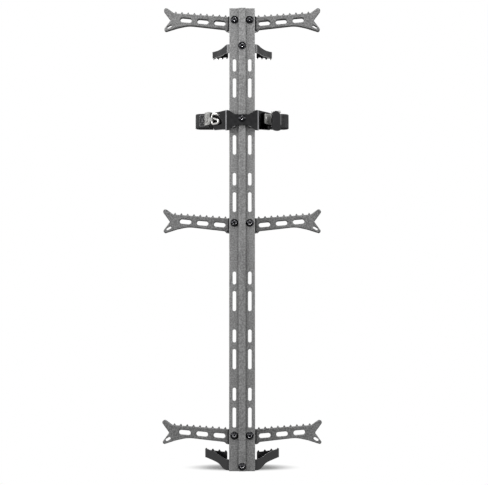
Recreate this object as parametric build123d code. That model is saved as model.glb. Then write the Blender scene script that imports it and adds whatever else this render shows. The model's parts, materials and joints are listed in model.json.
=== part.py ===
from build123d import *

import os
from dataclasses import dataclass
from math import cos, radians, sin, tan

# A hunter's climbing stick: an aluminium beam that is strapped upright to a tree and carries three
# pairs of folding steps. Millimetres. X is the climber's right, Y runs from the climber to the
# tree, Z is up. The origin is on the beam's foot, in the middle of the front band's wall.

# Beam: an extruded channel, open at the back, with a raised band down its front and two ribs.
BEAM_LENGTH = 813.0
BEAM_WIDTH = 45.2
BEAM_DEPTH = 18.0
WEB = 3.0
FLANGE = 3.2
RIB = 1.8
RIB_GAP = 11.6
BAND_WIDTH = 12.2
BAND_RISE = 4.0
BAND_ROUND = 1.0
CORNER_ROUND = 1.5
GROOVE_R = 0.6
GROOVE_FROM_BAND = 0.6

# Slots in the beam's front: pairs of a long and a short one, in two groups.
SLOT_WIDTH = 6.0
LONG_SLOT = 35.0
SHORT_SLOT = 22.6
SLOT_GROUPS = (58.0, 434.1)
LONG_SLOT_START = 34.2
SHORT_SLOT_START = 74.6
SLOT_PITCH = 101.2
SLOTS_PER_GROUP = 3

# M8 fasteners: button-head socket screws, plain washers, lock nuts and spacer sleeves.
BOLT_R = 4.0
HEAD_R = 6.8
HEAD_HEIGHT = 4.4
HEAD_RIM = 0.8
SOCKET_FLATS = 5.0
SOCKET_DEPTH = 2.8
WASHER_R = 8.0
WASHER_THICK = 1.6
NUT_FLATS = 13.0
NUT_HEIGHT = 6.0
NUT_COLLAR_R = 5.6
NUT_COLLAR = 2.0
BOLT_TAIL = 1.5
CHANNEL_NUT_THICK = 7.0
CHANNEL_NUT_HEIGHT = 18.0
HOLE_CLEAR = 0.2
THREAD_CLEAR = 0.02
SLEEVE_CLEAR = 0.3
RUNNING_CLEAR = 0.05

# Steps: forked plates with teeth on top. A step's own sizes are X and Z from its pivot.
BOTTOM_STATION = 61.1
MIDDLE_STATION = 431.5
TOP_STATION_DROP = 20.4
STEP_THICK = 10.0
STEP_EDGE = 1.0
PIVOT_TO_FLOOR = 13.0
STOP_CLEAR = 0.05
STEP_ROOT_TOP = 10.1
FLARE_CLEAR = 0.2
FLARE_DROP = 2.7
FLARE_FLAT = 1.6
STEP_TOP_SLOPE = 4.2
STEP_ARM_END = 107.5
UNDERSIDE_START = (17.6, -12.1)
UNDERSIDE_PEAK = (81.4, -4.8)
UNDERSIDE_END = (102.1, -9.3)
PEAK_ROUND = 55.0
UPPER_TIP = (121.9, 22.1)
UPPER_TIP_R = 4.2
UPPER_BASE = (106.5, 6.9)
UPPER_BASE_R = 7.6
LOWER_TIP = (122.0, -12.2)
LOWER_TIP_R = 3.3
LOWER_BASE = (104.5, 0.4)
LOWER_BASE_R = 10.0
FORK_NOTCH = (114.5, 4.2)
FORK_ROUND = 2.5
TIP_HOLE = (116.0, -7.2)
TIP_HOLE_LENGTH = 9.8
TIP_HOLE_WIDTH = 4.4
TIP_HOLE_TILT = -31.0
STEP_SLOT_LENGTH = 20.5
STEP_SLOT_WIDTH = 8.2
STEP_SLOT_START = (26.2, -0.9)
STEP_SLOT_PITCH = 30.2
STEP_SLOT_TILT = 5.0
STEP_SLOTS = 3
TOOTH_START = 16.0
TOOTH_PITCH = 11.125
TOOTH_COUNT = 9
TOOTH_HEIGHT = 3.2
TOOTH_BASE = 5.0
TOOTH_CREST = 0.9
TOOTH_ROOT = 2.0

# Folded channel that holds each pair of steps, open at the top.
SHEET = 3.0
CHANNEL_OVERHANG = 2.8
CHANNEL_ROUND = 2.0
SLIP_WASHER = 0.8
SLIP_WASHER_R = 9.5

# Standoffs: V brackets behind the beam, whose toothed pads bear on the tree.
STANDOFF_WALL = 4.0
STANDOFF_ROUND = 8.0
STANDOFF_EDGE = 8.0
TOP_STANDOFF_DROP = 67.6
PAD_ROUND = 3.5
LUG_DEPTH = 5.0
LUG_HEIGHT = 12.0
PAD_TOOTH_HEIGHT = 2.8
PAD_TOOTH_BASE = 5.0
PAD_TOOTH_CREST = 1.2
PAD_TOOTH_ROOT = 1.5
PAD_TEETH = 4

# Strap bracket: a bow-tie plate on the band, with arms bent back past the beam's edges.
BRACKET_DROP = 199.3
BRACKET_BOLT_LIFT = 1.6
BRACKET_PLATE = 3.0
BEND_X = 27.0
BEND_ANGLE = 48.0
BEND_R = 5.0
ARM_REACH = 51.0
ARM_HEIGHT = 32.4
ARM_END_HEIGHT = 30.4
ARM_CORNER = 4.0
ARM_SAG = 1.4
LIP_X = 29.4
LIP_DROP = 1.9
LIP_ROUND = 1.2
WAIST_TOP = 8.8
WAIST_DROP = 9.6
WAIST_HALF = 12.0
SHOULDER_X = 24.0
SHOULDER_ROUND = 2.5

# Webbing strap, folded behind the beam. Sizes named ARM run along an arm from its bend.
STRAP_LIFT = 3.4
WEBBING_WIDTH = 25.4
WEBBING = 1.6
STRAP_EASE_R = 6.0
STRAP_EASE = 30.0
STRAP_TURN_R = 10.0
STRAP_LEAD = 9.3
STRAP_END_AT = 39.0
FOLD_PITCH = 2.2

# Cam buckle, riveted to the right arm.
BUCKLE_START = 14.6
BUCKLE_END = 51.0
BUCKLE_PLATE = 1.6
BUCKLE_TONGUE_HEIGHT = 18.0
BUCKLE_TONGUE_END = 33.0
BUCKLE_CORNER = 2.0
BUCKLE_EAR_START = 34.5
BUCKLE_EAR_R = 3.4
BUCKLE_SLOT_AT = 36.5
BUCKLE_SLOT_WIDTH = 3.6
SLOT_TURN_R = 2.0
WEBBING_SIDE_CLEAR = 0.5
CAM_PIN_AT = 43.0
CAM_PIN_STAND = 11.1
CAM_PIN_R = 2.0
PIN_HEAD_R = 3.0
PIN_HEAD = 1.0
CAM_R = 4.4
CAM_NOSE_R = 1.2
CAM_GRIP_CLEAR = 0.1
CAM_WIDTH = 19.0
LEVER_START = 18.2
LEVER_END = 39.1
LEVER_STAND = 15.0
LEVER_THICK = 2.6
LEVER_HEIGHT = 35.6
LEVER_DROP = 4.2
LEVER_DOME = 9.5
THUMB_REACH = 13.2
THUMB_HALF = 6.4
SPRING_WIRE_R = 0.45
SPRING_R = 2.9
SPRING_PITCH = 1.15
SPRING_TURNS = 2
RIVET_AT = 20.0
RIVET_R = 2.4
RIVET_HEAD_R = 4.0
RIVET_HEAD = 1.4
RIVET_DOME = 1.0

# Hook and end clamp on the left arm.
HOOK_R = 1.9
HOOK_RING_AT = 23.1
HOOK_RING_R = 8.5
HOOK_BEND_R = 4.4
HOOK_TONGUE_R = 2.6
HOOK_TONGUE_START = -3.2
HOOK_TIP = (25.6, 0.8)
HOOK_END = (19.0, 3.2, 4.6)
HOOK_HOLE_AT = 20.0
HOOK_HOLE_WIDTH = 9.5
HOOK_HOLE_HEIGHT = 20.0
CLAMP_SHEET = 1.1
CLAMP_FIT = 0.2
CLAMP_STAND_OFF = 0.2
CLAMP_END = 48.0
CLAMP_START = 34.5
CLAMP_HEIGHT = 23.0
CLAMP_LIFT = 2.4
CLAMP_EYE_HEIGHT = 6.6
CLAMP_CORNER = 2.0
CLAMP_RIVET_AT = 43.0

# Values that follow from the ones above.
STATIONS = {
    "bottom": BOTTOM_STATION,
    "middle": MIDDLE_STATION,
    "top": BEAM_LENGTH - TOP_STATION_DROP,
}
BRACKET_Z = BEAM_LENGTH - BRACKET_DROP
BRACKET_BOLT_Z = BRACKET_Z + BRACKET_BOLT_LIFT
STRAP_Z = BRACKET_Z + STRAP_LIFT
BAND_Y = -WEB / 2
FRONT_Y = BAND_Y + BAND_RISE
BACK_Y = FRONT_Y + BEAM_DEPTH
RIB_OUTER = RIB_GAP / 2 + RIB
FLANGE_INNER = BEAM_WIDTH / 2 - FLANGE
POCKET_WIDTH = FLANGE_INNER - RIB_OUTER
PIVOT_X = (FLANGE_INNER + RIB_OUTER) / 2
HOLE_R = BOLT_R + HOLE_CLEAR
CHANNEL_GAP = STEP_THICK + 2 * SLIP_WASHER + 4 * RUNNING_CLEAR
CHANNEL_WIDTH = BEAM_WIDTH + 2 * CHANNEL_OVERHANG
STEP_ROOT_X = CHANNEL_WIDTH / 2 - PIVOT_X
CHANNEL_BACK_Y = BACK_Y + CHANNEL_GAP + 2 * SHEET
STEP_Y = (BACK_Y + CHANNEL_BACK_Y) / 2
HUB_R = PIVOT_TO_FLOOR - STOP_CLEAR
PLATE_Y = BAND_Y - BRACKET_PLATE
STANDOFF_BACK_Y = BACK_Y + STANDOFF_WALL
EAR_INNER = WEBBING_WIDTH / 2 + WEBBING_SIDE_CLEAR
EAR_OUTER = EAR_INNER + BUCKLE_PLATE
ARM_FACE = BRACKET_PLATE / 2
CLAMP_HALF = HOOK_R + CLAMP_FIT + CLAMP_SHEET
STRAP_STAND = ARM_FACE + CLAMP_STAND_OFF + CLAMP_HALF
TALL = 100.0


@dataclass(frozen=True)
class StandoffForm:
    """One standoff's sizes. Edges are X and height above the root's edge, outwards."""

    bolt_z: float
    turn: float
    arm: float
    pad_turn: float
    pad: float
    near_edge: tuple
    far_edge: tuple
    pad_near: tuple
    pad_far: tuple
    tooth_span: tuple


BOTTOM_STANDOFF = StandoffForm(
    bolt_z=STANDOFF_EDGE,
    turn=46.0,
    arm=53.0,
    pad_turn=144.0,
    pad=34.0,
    near_edge=((22.6, 0.0), (31.0, 1.5), (40.0, 10.0), (52.0, 16.0), (68.0, 21.5)),
    far_edge=((22.6, 19.0), (34.0, 22.0), (46.0, 29.5), (68.0, 36.5)),
    pad_near=((26.0, 16.0), (68.0, 20.5)),
    pad_far=((26.0, 29.3), (68.0, 34.2)),
    tooth_span=(28.8, 63.4),
)
TOP_STANDOFF = StandoffForm(
    bolt_z=BEAM_LENGTH - TOP_STANDOFF_DROP,
    turn=50.0,
    arm=39.0,
    pad_turn=140.0,
    pad=23.0,
    near_edge=((22.6, 0.8), (28.0, 1.0), (35.0, 5.0), (43.0, 7.5), (56.0, 7.9)),
    far_edge=((22.6, 16.0), (28.0, 15.0), (35.0, 17.6), (44.0, 18.6), (56.0, 18.6)),
    pad_near=((25.0, 6.0), (56.0, 7.6)),
    pad_far=((25.0, 16.6), (56.0, 18.2)),
    tooth_span=(27.6, 51.4),
)


def along_y(sketch, start, end):
    """Extrudes a sketch drawn in X and Z from one depth to another."""
    return extrude(Plane.XZ.offset(-start) * sketch, -(end - start))


def rod_y(radius, start, end, x=0.0, z=0.0):
    """A round bar along Y."""
    return along_y(Pos(x, z) * Circle(radius), start, end)


def tooth_outline(base, crest, height, root):
    """A pointed tooth, with a root that reaches into the part below it."""
    return Polygon(
        (-base / 2, -root),
        (base / 2, -root),
        (base / 2, 0),
        (crest / 2, height),
        (-crest / 2, height),
        (-base / 2, 0),
        align=None,
    )


def ribbon_path(start, heading, moves):
    """Joins straight runs and arcs end to end. A move is a length, a radius and a turn."""
    edges = []
    point = Vector(*start)
    for length, radius, turn in moves:
        ahead = Vector(cos(radians(heading)), sin(radians(heading)))
        if length:
            edges.append(Line(point, point + ahead * length))
            point = edges[-1] @ 1
        if turn:
            edges.append(JernArc(point, ahead, radius, turn))
            point = edges[-1] @ 1
            heading += turn
    return Wire(edges)


def ribbon(path, thickness, height):
    """Sweeps an upright strip of sheet along a plan path, centred on Z = 0."""
    start = Plane(path @ 0, x_dir=(0, 0, 1), z_dir=path % 0)
    return sweep(start * Rectangle(height, thickness), path=path)


def both_sides(part):
    """The part joined to its mirror image across the beam."""
    return part + mirror(part, about=Plane.YZ)


def group(parts):
    """Several separate solids as one node."""
    return Compound(children=[solid for part in parts for solid in part.solids()])


# ---------------------------------------------------------------- beam


def beam_profile():
    """The channel's section, with the front towards -Y."""
    outer = Pos(0, FRONT_Y + BEAM_DEPTH / 2) * Rectangle(BEAM_WIDTH, BEAM_DEPTH)
    outer += Pos(0, FRONT_Y - BAND_RISE / 2) * Rectangle(BAND_WIDTH, BAND_RISE)
    outer = fillet(outer.vertices().group_by(Axis.Y)[0], BAND_ROUND)
    corners = outer.vertices().filter_by(lambda v: abs(v.X) > BAND_WIDTH)
    outer = fillet(corners.group_by(Axis.Y)[0], CORNER_ROUND)
    side_depth = BEAM_DEPTH - WEB
    side_pocket = Pos(PIVOT_X, BACK_Y - side_depth / 2) * Rectangle(POCKET_WIDTH, side_depth)
    middle_depth = BEAM_DEPTH + BAND_RISE - WEB
    middle_pocket = Pos(0, BACK_Y - middle_depth / 2) * Rectangle(RIB_GAP, middle_depth)
    groove = Pos(BAND_WIDTH / 2 + GROOVE_FROM_BAND, FRONT_Y) * Circle(GROOVE_R)
    cuts = side_pocket + groove
    return outer - middle_pocket - cuts - mirror(cuts, about=Plane.YZ)


def slot_centres():
    """Each beam slot's height and length, from the foot up."""
    for start in SLOT_GROUPS:
        for index in range(SLOTS_PER_GROUP):
            lift = start + index * SLOT_PITCH
            yield lift + LONG_SLOT_START, LONG_SLOT
            yield lift + SHORT_SLOT_START, SHORT_SLOT


def make_beam():
    """The extrusion with its slots and bolt holes."""
    beam = extrude(beam_profile(), BEAM_LENGTH)
    cuts = Sketch()
    for height, length in slot_centres():
        cuts += Pos(PIVOT_X, height) * Rot(0, 0, 90) * SlotOverall(length, SLOT_WIDTH)
    for height in STATIONS.values():
        cuts += Pos(PIVOT_X, height) * Circle(HOLE_R)
    cutter = along_y(cuts, BAND_Y, FRONT_Y + 2 * WEB)
    beam -= both_sides(cutter)
    for height in (BOTTOM_STANDOFF.bolt_z, BRACKET_BOLT_Z, TOP_STANDOFF.bolt_z):
        beam -= rod_y(HOLE_R, BAND_Y - WEB, FRONT_Y + 2 * WEB, 0, height)
    return beam


# ---------------------------------------------------------------- fasteners


def screw(head_y, end_y, x, z):
    """A button-head socket screw whose head seats at head_y."""
    rise = HEAD_HEIGHT - HEAD_RIM
    dome_r = (HEAD_R**2 + rise**2) / (2 * rise)
    head = along_y(Circle(HEAD_R), -HEAD_HEIGHT, 0) & Pos(0, dome_r - HEAD_HEIGHT) * Sphere(dome_r)
    socket = RegularPolygon(SOCKET_FLATS / 2, 6, major_radius=False)
    head -= along_y(socket, -HEAD_HEIGHT, SOCKET_DEPTH - HEAD_HEIGHT)
    shank = rod_y(BOLT_R, 0, end_y - head_y)
    return Pos(x, head_y, z) * (head + shank)


def washer(start, x, z, radius=WASHER_R, thick=WASHER_THICK, hole=HOLE_R):
    """A flat ring around a bolt."""
    return Pos(x, start, z) * along_y(Circle(radius) - Circle(hole), 0, thick)


def lock_nut(start, x, z):
    """A hexagon nut with a round collar, tapped a hair over the bolt."""
    body = along_y(RegularPolygon(NUT_FLATS / 2, 6, major_radius=False), 0, NUT_HEIGHT)
    collar = rod_y(NUT_COLLAR_R, NUT_HEIGHT, NUT_HEIGHT + NUT_COLLAR)
    bore = rod_y(BOLT_R + THREAD_CLEAR, 0, NUT_HEIGHT + NUT_COLLAR)
    return Pos(x, start, z) * (body + collar - bore)


def sleeve(start, end, x, z, room):
    """A spacer tube that keeps a bolt from squeezing the channel."""
    ring = Circle(room / 2 - SLEEVE_CLEAR) - Circle(HOLE_R)
    return Pos(x, 0, z) * along_y(ring, start, end)


def stack_end(start):
    """Where a bolt ends whose washer starts at this depth."""
    return start + WASHER_THICK + NUT_HEIGHT + NUT_COLLAR + BOLT_TAIL


def make_step_fasteners():
    """The bolts, sleeves, washers, nuts and slip washers of all six pivots."""
    bolts, sleeves, washers, nuts, slips = [], [], [], [], []
    slip_front = BACK_Y + SHEET + RUNNING_CLEAR
    slip_back = CHANNEL_BACK_Y - SHEET - RUNNING_CLEAR - SLIP_WASHER
    for height in STATIONS.values():
        for x in (-PIVOT_X, PIVOT_X):
            bolts.append(screw(FRONT_Y, stack_end(CHANNEL_BACK_Y), x, height))
            sleeves.append(sleeve(FRONT_Y + WEB, BACK_Y, x, height, POCKET_WIDTH))
            washers.append(washer(CHANNEL_BACK_Y, x, height))
            nuts.append(lock_nut(CHANNEL_BACK_Y + WASHER_THICK, x, height))
            for start in (slip_front, slip_back):
                slips.append(washer(start, x, height, SLIP_WASHER_R, SLIP_WASHER))
    return {
        "step_bolts": group(bolts),
        "step_sleeves": group(sleeves),
        "step_washers": group(washers),
        "step_lock_nuts": group(nuts),
        "step_slip_washers": group(slips),
    }


def make_centre_fasteners():
    """The bolts through the band, with their sleeves, washers and nuts."""
    standoffs = (BOTTOM_STANDOFF.bolt_z, TOP_STANDOFF.bolt_z)
    inner = BAND_Y + WEB
    bolts = [screw(BAND_Y, stack_end(STANDOFF_BACK_Y), 0, z) for z in standoffs]
    sleeves = [sleeve(inner, BACK_Y, 0, z, RIB_GAP) for z in standoffs]
    washers = [washer(STANDOFF_BACK_Y, 0, z) for z in standoffs]
    nuts = [lock_nut(STANDOFF_BACK_Y + WASHER_THICK, 0, z) for z in standoffs]
    nut_end = inner + CHANNEL_NUT_THICK
    nut_width = RIB_GAP - 2 * SLEEVE_CLEAR
    channel_nut = Rectangle(nut_width, CHANNEL_NUT_HEIGHT) - Circle(BOLT_R + THREAD_CLEAR)
    channel_nut = Pos(0, 0, BRACKET_BOLT_Z) * along_y(channel_nut, inner, nut_end)
    return {
        "standoff_bolts": group(bolts),
        "standoff_sleeves": group(sleeves),
        "standoff_washers": group(washers),
        "standoff_lock_nuts": group(nuts),
        "strap_bracket_bolt": screw(PLATE_Y, nut_end + BOLT_TAIL, 0, BRACKET_BOLT_Z),
        "strap_bracket_nut": channel_nut,
    }


# ---------------------------------------------------------------- steps


def make_channel(height):
    """The folded channel behind the beam that carries one pair of steps."""
    depth = CHANNEL_BACK_Y - BACK_Y
    tall = STEP_ROOT_TOP + PIVOT_TO_FLOOR
    middle = Vector(STEP_Y, (STEP_ROOT_TOP - PIVOT_TO_FLOOR) / 2)
    section = Pos(middle.X, middle.Y - SHEET / 2) * Rectangle(depth, tall + SHEET)
    section = fillet(section.vertices().group_by(Axis.Y)[0], CHANNEL_ROUND)
    section -= Pos(middle.X, middle.Y) * Rectangle(CHANNEL_GAP, tall)
    channel = extrude(Plane.YZ * section, CHANNEL_WIDTH / 2, both=True)
    channel -= both_sides(rod_y(HOLE_R, BACK_Y, CHANNEL_BACK_Y, PIVOT_X))
    return Pos(0, 0, height) * channel


def step_outline():
    """The right-hand step's side view, from its pivot."""
    top_rise = (STEP_ARM_END - STEP_ROOT_X) * tan(radians(STEP_TOP_SLOPE))
    flare_x = STEP_ROOT_X + FLARE_CLEAR
    arm = Polygon(
        (0, -HUB_R),
        (flare_x, -HUB_R),
        (flare_x, -HUB_R - FLARE_DROP),
        (flare_x + FLARE_FLAT, -HUB_R - FLARE_DROP),
        UNDERSIDE_START,
        UNDERSIDE_PEAK,
        UNDERSIDE_END,
        UPPER_BASE,
        (STEP_ARM_END, STEP_ROOT_TOP + top_rise),
        (STEP_ROOT_X, STEP_ROOT_TOP),
        (0, STEP_ROOT_TOP),
        align=None,
    )
    peak = arm.vertices().sort_by_distance(UNDERSIDE_PEAK)[0]
    arm = fillet(peak, PEAK_ROUND)
    upper = (Pos(UPPER_TIP) * Circle(UPPER_TIP_R), Pos(UPPER_BASE) * Circle(UPPER_BASE_R))
    lower = (Pos(LOWER_TIP) * Circle(LOWER_TIP_R), Pos(LOWER_BASE) * Circle(LOWER_BASE_R))
    outline = Circle(HUB_R) + arm
    for horn in (upper, lower):
        outline += make_hull(horn[0].edges() + horn[1].edges())
    notch = outline.vertices().sort_by_distance(FORK_NOTCH)[0]
    return fillet(notch, FORK_ROUND)


def step_teeth():
    """The row of teeth along the top, standing on the sloped edge."""
    tooth = tooth_outline(TOOTH_BASE, TOOTH_CREST, TOOTH_HEIGHT, TOOTH_ROOT)
    teeth = Sketch()
    for index in range(TOOTH_COUNT):
        out = TOOTH_START + index * TOOTH_PITCH
        lift = STEP_ROOT_TOP + (out - STEP_ROOT_X) * tan(radians(STEP_TOP_SLOPE))
        teeth += Pos(out, lift) * Rot(0, 0, STEP_TOP_SLOPE) * tooth
    half = STEP_THICK / 2 - STEP_EDGE
    return along_y(teeth, -half, half)


def make_step():
    """The right-hand step, on its pivot axis, with its edges bevelled."""
    slots = Sketch()
    for index in range(STEP_SLOTS):
        reach = index * STEP_SLOT_PITCH
        lift = STEP_SLOT_START[1] + reach * tan(radians(STEP_SLOT_TILT))
        slot = Rot(0, 0, STEP_SLOT_TILT) * SlotOverall(STEP_SLOT_LENGTH, STEP_SLOT_WIDTH)
        slots += Pos(STEP_SLOT_START[0] + reach, lift) * slot
    half = STEP_THICK / 2
    step = along_y(step_outline() - slots, -half, half)
    faces = step.faces().sort_by(Axis.Y)
    step = chamfer(faces[0].edges() + faces[-1].edges(), STEP_EDGE)
    step += step_teeth()
    hole = Rot(0, 0, TIP_HOLE_TILT) * SlotOverall(TIP_HOLE_LENGTH, TIP_HOLE_WIDTH)
    step -= along_y(Pos(TIP_HOLE) * hole, -half, half)
    return step - rod_y(BOLT_R + RUNNING_CLEAR, -half, half)


# ---------------------------------------------------------------- standoffs


def edge_line(points):
    """A line through an edge's points. A curved one starts level, along the beam's back."""
    ends = [Vector(*point) for point in points]
    if len(ends) == 2:
        return Line(*ends)
    return Spline(*ends, tangents=(Vector(1, 0), ends[-1] - ends[-2]))


def edge_band(near, far, inner):
    """A face between two edge lines, carried straight in to the given X."""
    start = (inner, near[0][1])
    finish = (inner, far[0][1])
    sides = Line(near[-1], far[-1]) + Line(finish, start)
    if inner < near[0][0]:
        sides += Line(start, near[0]) + Line(finish, far[0])
    return make_face(edge_line(near) + edge_line(far) + sides)


def pad_outline(form):
    """The tree pad's front view, with its teeth on the far edge."""
    outline = edge_band(form.pad_near, form.pad_far, form.pad_near[0][0])
    start, end = (Vector(*point) for point in form.pad_far)
    slope = (end.Y - start.Y) / (end.X - start.X)
    tooth = tooth_outline(PAD_TOOTH_BASE, PAD_TOOTH_CREST, PAD_TOOTH_HEIGHT, PAD_TOOTH_ROOT)
    first, last = form.tooth_span
    for index in range(PAD_TEETH):
        out = first + index * (last - first) / (PAD_TEETH - 1)
        outline += Pos(out, start.Y + (out - start.X) * slope) * tooth
    return outline


def make_standoff(form):
    """The whole bracket with its root edge at Z = 0 and its teeth above."""
    base_y = BACK_Y + STANDOFF_WALL / 2
    reach = BEAM_WIDTH / 2 - STANDOFF_ROUND / 3
    base = (reach, STANDOFF_ROUND, form.turn)
    tip = (0, PAD_ROUND, form.pad_turn)
    arm_path = ribbon_path((0, base_y), 0, [base, (form.arm, 0, 0)])
    arm_end = arm_path @ 1
    tip_path = ribbon_path((arm_end.X, arm_end.Y), form.turn, [tip])
    pad_path = ribbon_path((arm_end.X, arm_end.Y), form.turn, [tip, (form.pad, 0, 0)])
    arm = ribbon(arm_path, STANDOFF_WALL, TALL) + ribbon(tip_path, STANDOFF_WALL, TALL)
    arm &= along_y(edge_band(form.near_edge, form.far_edge, 0), 0, TALL)
    pad = ribbon(pad_path, STANDOFF_WALL, TALL) & along_y(pad_outline(form), 0, TALL)
    standoff = both_sides(arm + pad)
    lug = Rectangle(POCKET_WIDTH - 2 * SLEEVE_CLEAR, LUG_HEIGHT)
    lug_z = form.far_edge[0][1] / 2
    lugs = along_y(Pos(PIVOT_X, lug_z) * lug, BACK_Y - LUG_DEPTH, BACK_Y + STANDOFF_WALL / 2)
    standoff += both_sides(lugs)
    return standoff - rod_y(HOLE_R, 0, TALL, 0, STANDOFF_EDGE)


# ---------------------------------------------------------------- strap bracket


def arm_start():
    """Where an arm leaves its bend, on the middle of the plate."""
    path = ribbon_path((0, PLATE_Y + BRACKET_PLATE / 2), 0, [bracket_bend()])
    return path @ 1


def bracket_bend():
    """The move along the plate from its middle through the bend."""
    return (BEND_X - BEND_R * tan(radians(BEND_ANGLE / 2)), BEND_R, BEND_ANGLE)


def on_arm(part):
    """Places a part drawn with X along the right arm and -Y outwards."""
    start = arm_start()
    return Pos(start.X, start.Y, STRAP_Z) * Rot(0, 0, BEND_ANGLE) * part


def arm_point(along, stand):
    """A point on the right arm in plan, from its bend and out of its middle plane."""
    place = on_arm(Pos(along, -stand, 0))
    return place.position.X, place.position.Y


def bow_tie():
    """The bracket's front view about its centre height."""
    lip = -ARM_HEIGHT / 2 - ARM_SAG - LIP_DROP
    top = Polyline(
        (0, WAIST_TOP),
        (WAIST_HALF, WAIST_TOP),
        (SHOULDER_X, ARM_HEIGHT / 2),
        (BEND_X, ARM_HEIGHT / 2),
        (ARM_REACH, ARM_END_HEIGHT / 2),
        (ARM_REACH, -ARM_END_HEIGHT / 2),
        (LIP_X, lip + LIP_DROP),
        (LIP_X, lip),
        (SHOULDER_X, lip),
    )
    middle = (SHOULDER_X / 2, (lip - 3 * WAIST_DROP) / 4)
    arch = ThreePointArc((SHOULDER_X, lip), middle, (0, -WAIST_DROP))
    half = make_face(top + arch + Line((0, -WAIST_DROP), (0, WAIST_TOP)))
    corners = half.vertices().group_by(Axis.X)[-1]
    half = fillet(corners, ARM_CORNER)
    shoulder = half.vertices().sort_by_distance((SHOULDER_X, ARM_HEIGHT / 2))[0]
    half = fillet(shoulder, SHOULDER_ROUND)
    lip_end = half.vertices().sort_by_distance((LIP_X, lip))[0]
    half = fillet(lip_end, LIP_ROUND)
    return half + mirror(half, about=Plane.YZ)


def make_strap_bracket():
    """The bent bow-tie plate with its bolt, hook and rivet holes."""
    path = ribbon_path(
        (0, PLATE_Y + BRACKET_PLATE / 2), 0, [bracket_bend(), (2 * ARM_REACH, 0, 0)]
    )
    plate = both_sides(ribbon(path, BRACKET_PLATE, TALL))
    plate &= along_y(bow_tie(), PLATE_Y, TALL)
    plate = Pos(0, 0, BRACKET_Z) * plate
    plate -= rod_y(HOLE_R, PLATE_Y, PLATE_Y + BRACKET_PLATE, 0, BRACKET_BOLT_Z)
    rivet_hole = rod_y(RIVET_R, -BRACKET_PLATE, BRACKET_PLATE, RIVET_AT)
    hook_hole = SlotOverall(HOOK_HOLE_HEIGHT, HOOK_HOLE_WIDTH)
    hook_hole = Pos(HOOK_HOLE_AT, 0) * Rot(0, 0, 90) * hook_hole
    hook_hole = along_y(hook_hole, -BRACKET_PLATE, BRACKET_PLATE)
    return plate - on_arm(rivet_hole) - mirror(on_arm(hook_hole), about=Plane.YZ)


# ---------------------------------------------------------------- cam buckle


def make_buckle_frame():
    """The buckle's pressed steel base with its two ears, in arm coordinates."""
    face = -ARM_FACE - BUCKLE_PLATE
    tongue_length = BUCKLE_TONGUE_END - BUCKLE_START
    tongue = Pos(BUCKLE_START + tongue_length / 2, 0) * Rectangle(
        tongue_length, BUCKLE_TONGUE_HEIGHT
    )
    tongue = fillet(tongue.vertices().group_by(Axis.X)[0], BUCKLE_CORNER)
    body_length = BUCKLE_END - BUCKLE_TONGUE_END
    body = Pos(BUCKLE_TONGUE_END + body_length / 2, 0) * Rectangle(body_length, 2 * EAR_OUTER)
    body = fillet(body.vertices().group_by(Axis.X)[-1], BUCKLE_CORNER)
    slot = Pos(BUCKLE_SLOT_AT, 0) * Rectangle(BUCKLE_SLOT_WIDTH, 2 * EAR_INNER)
    base = along_y(tongue + body - slot, face, -ARM_FACE)
    base -= rod_y(RIVET_R, face, -ARM_FACE, RIVET_AT)
    foot = Polygon(
        (BUCKLE_EAR_START, -ARM_FACE),
        (BUCKLE_END - BUCKLE_CORNER, -ARM_FACE),
        (BUCKLE_END - BUCKLE_CORNER, face),
        (CAM_PIN_AT + BUCKLE_EAR_R, -CAM_PIN_STAND),
        (CAM_PIN_AT - BUCKLE_EAR_R, -CAM_PIN_STAND),
        (BUCKLE_EAR_START, face),
        align=None,
    )
    pin_place = Pos(CAM_PIN_AT, -CAM_PIN_STAND)
    ear = foot + pin_place * Circle(BUCKLE_EAR_R) - pin_place * Circle(CAM_PIN_R)
    ear = extrude(ear, BUCKLE_PLATE / 2, both=True)
    ear = Pos(0, 0, (EAR_INNER + EAR_OUTER) / 2) * ear
    return base + ear + mirror(ear, about=Plane.XY)


def make_cam_lever():
    """The toothed cam and its thumb pad, in arm coordinates."""
    pin = Pos(CAM_PIN_AT, -CAM_PIN_STAND)
    grip = STRAP_STAND + WEBBING / 2 + CAM_GRIP_CLEAR
    nose = Pos(CAM_PIN_AT, -grip - CAM_NOSE_R) * Circle(CAM_NOSE_R)
    neck_r = LEVER_THICK / 2
    neck = Pos(LEVER_END - neck_r, -LEVER_STAND - neck_r) * Circle(neck_r)
    barrel = pin * Circle(CAM_R)
    profile = make_hull(barrel.edges() + nose.edges()) + make_hull(barrel.edges() + neck.edges())
    cam = extrude(profile, CAM_WIDTH / 2, both=True)
    length = LEVER_END - LEVER_START
    flat = LEVER_HEIGHT - LEVER_DOME - THUMB_HALF
    tab = Pos(0, (THUMB_HALF - LEVER_DOME) / 2) * Rectangle(length, flat)
    tab += Pos(0, LEVER_HEIGHT / 2 - LEVER_DOME) * Ellipse(length / 2, LEVER_DOME)
    tab += Pos(0, THUMB_HALF - LEVER_HEIGHT / 2) * Ellipse(THUMB_REACH, THUMB_HALF)
    pad = Pos(LEVER_START + length / 2, -LEVER_DROP) * tab
    pad = along_y(pad, -LEVER_STAND - LEVER_THICK, -LEVER_STAND)
    bore = Pos(0, 0, -TALL / 2) * extrude(pin * Circle(CAM_PIN_R + RUNNING_CLEAR), TALL)
    return cam + pad - bore


def make_cam_pin():
    """The headed pin through the buckle's ears."""
    shank = extrude(Circle(CAM_PIN_R), EAR_OUTER, both=True)
    head = Pos(0, 0, EAR_OUTER) * extrude(Circle(PIN_HEAD_R), PIN_HEAD)
    pin = shank + head + mirror(head, about=Plane.XY)
    return Pos(CAM_PIN_AT, -CAM_PIN_STAND, 0) * pin


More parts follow.
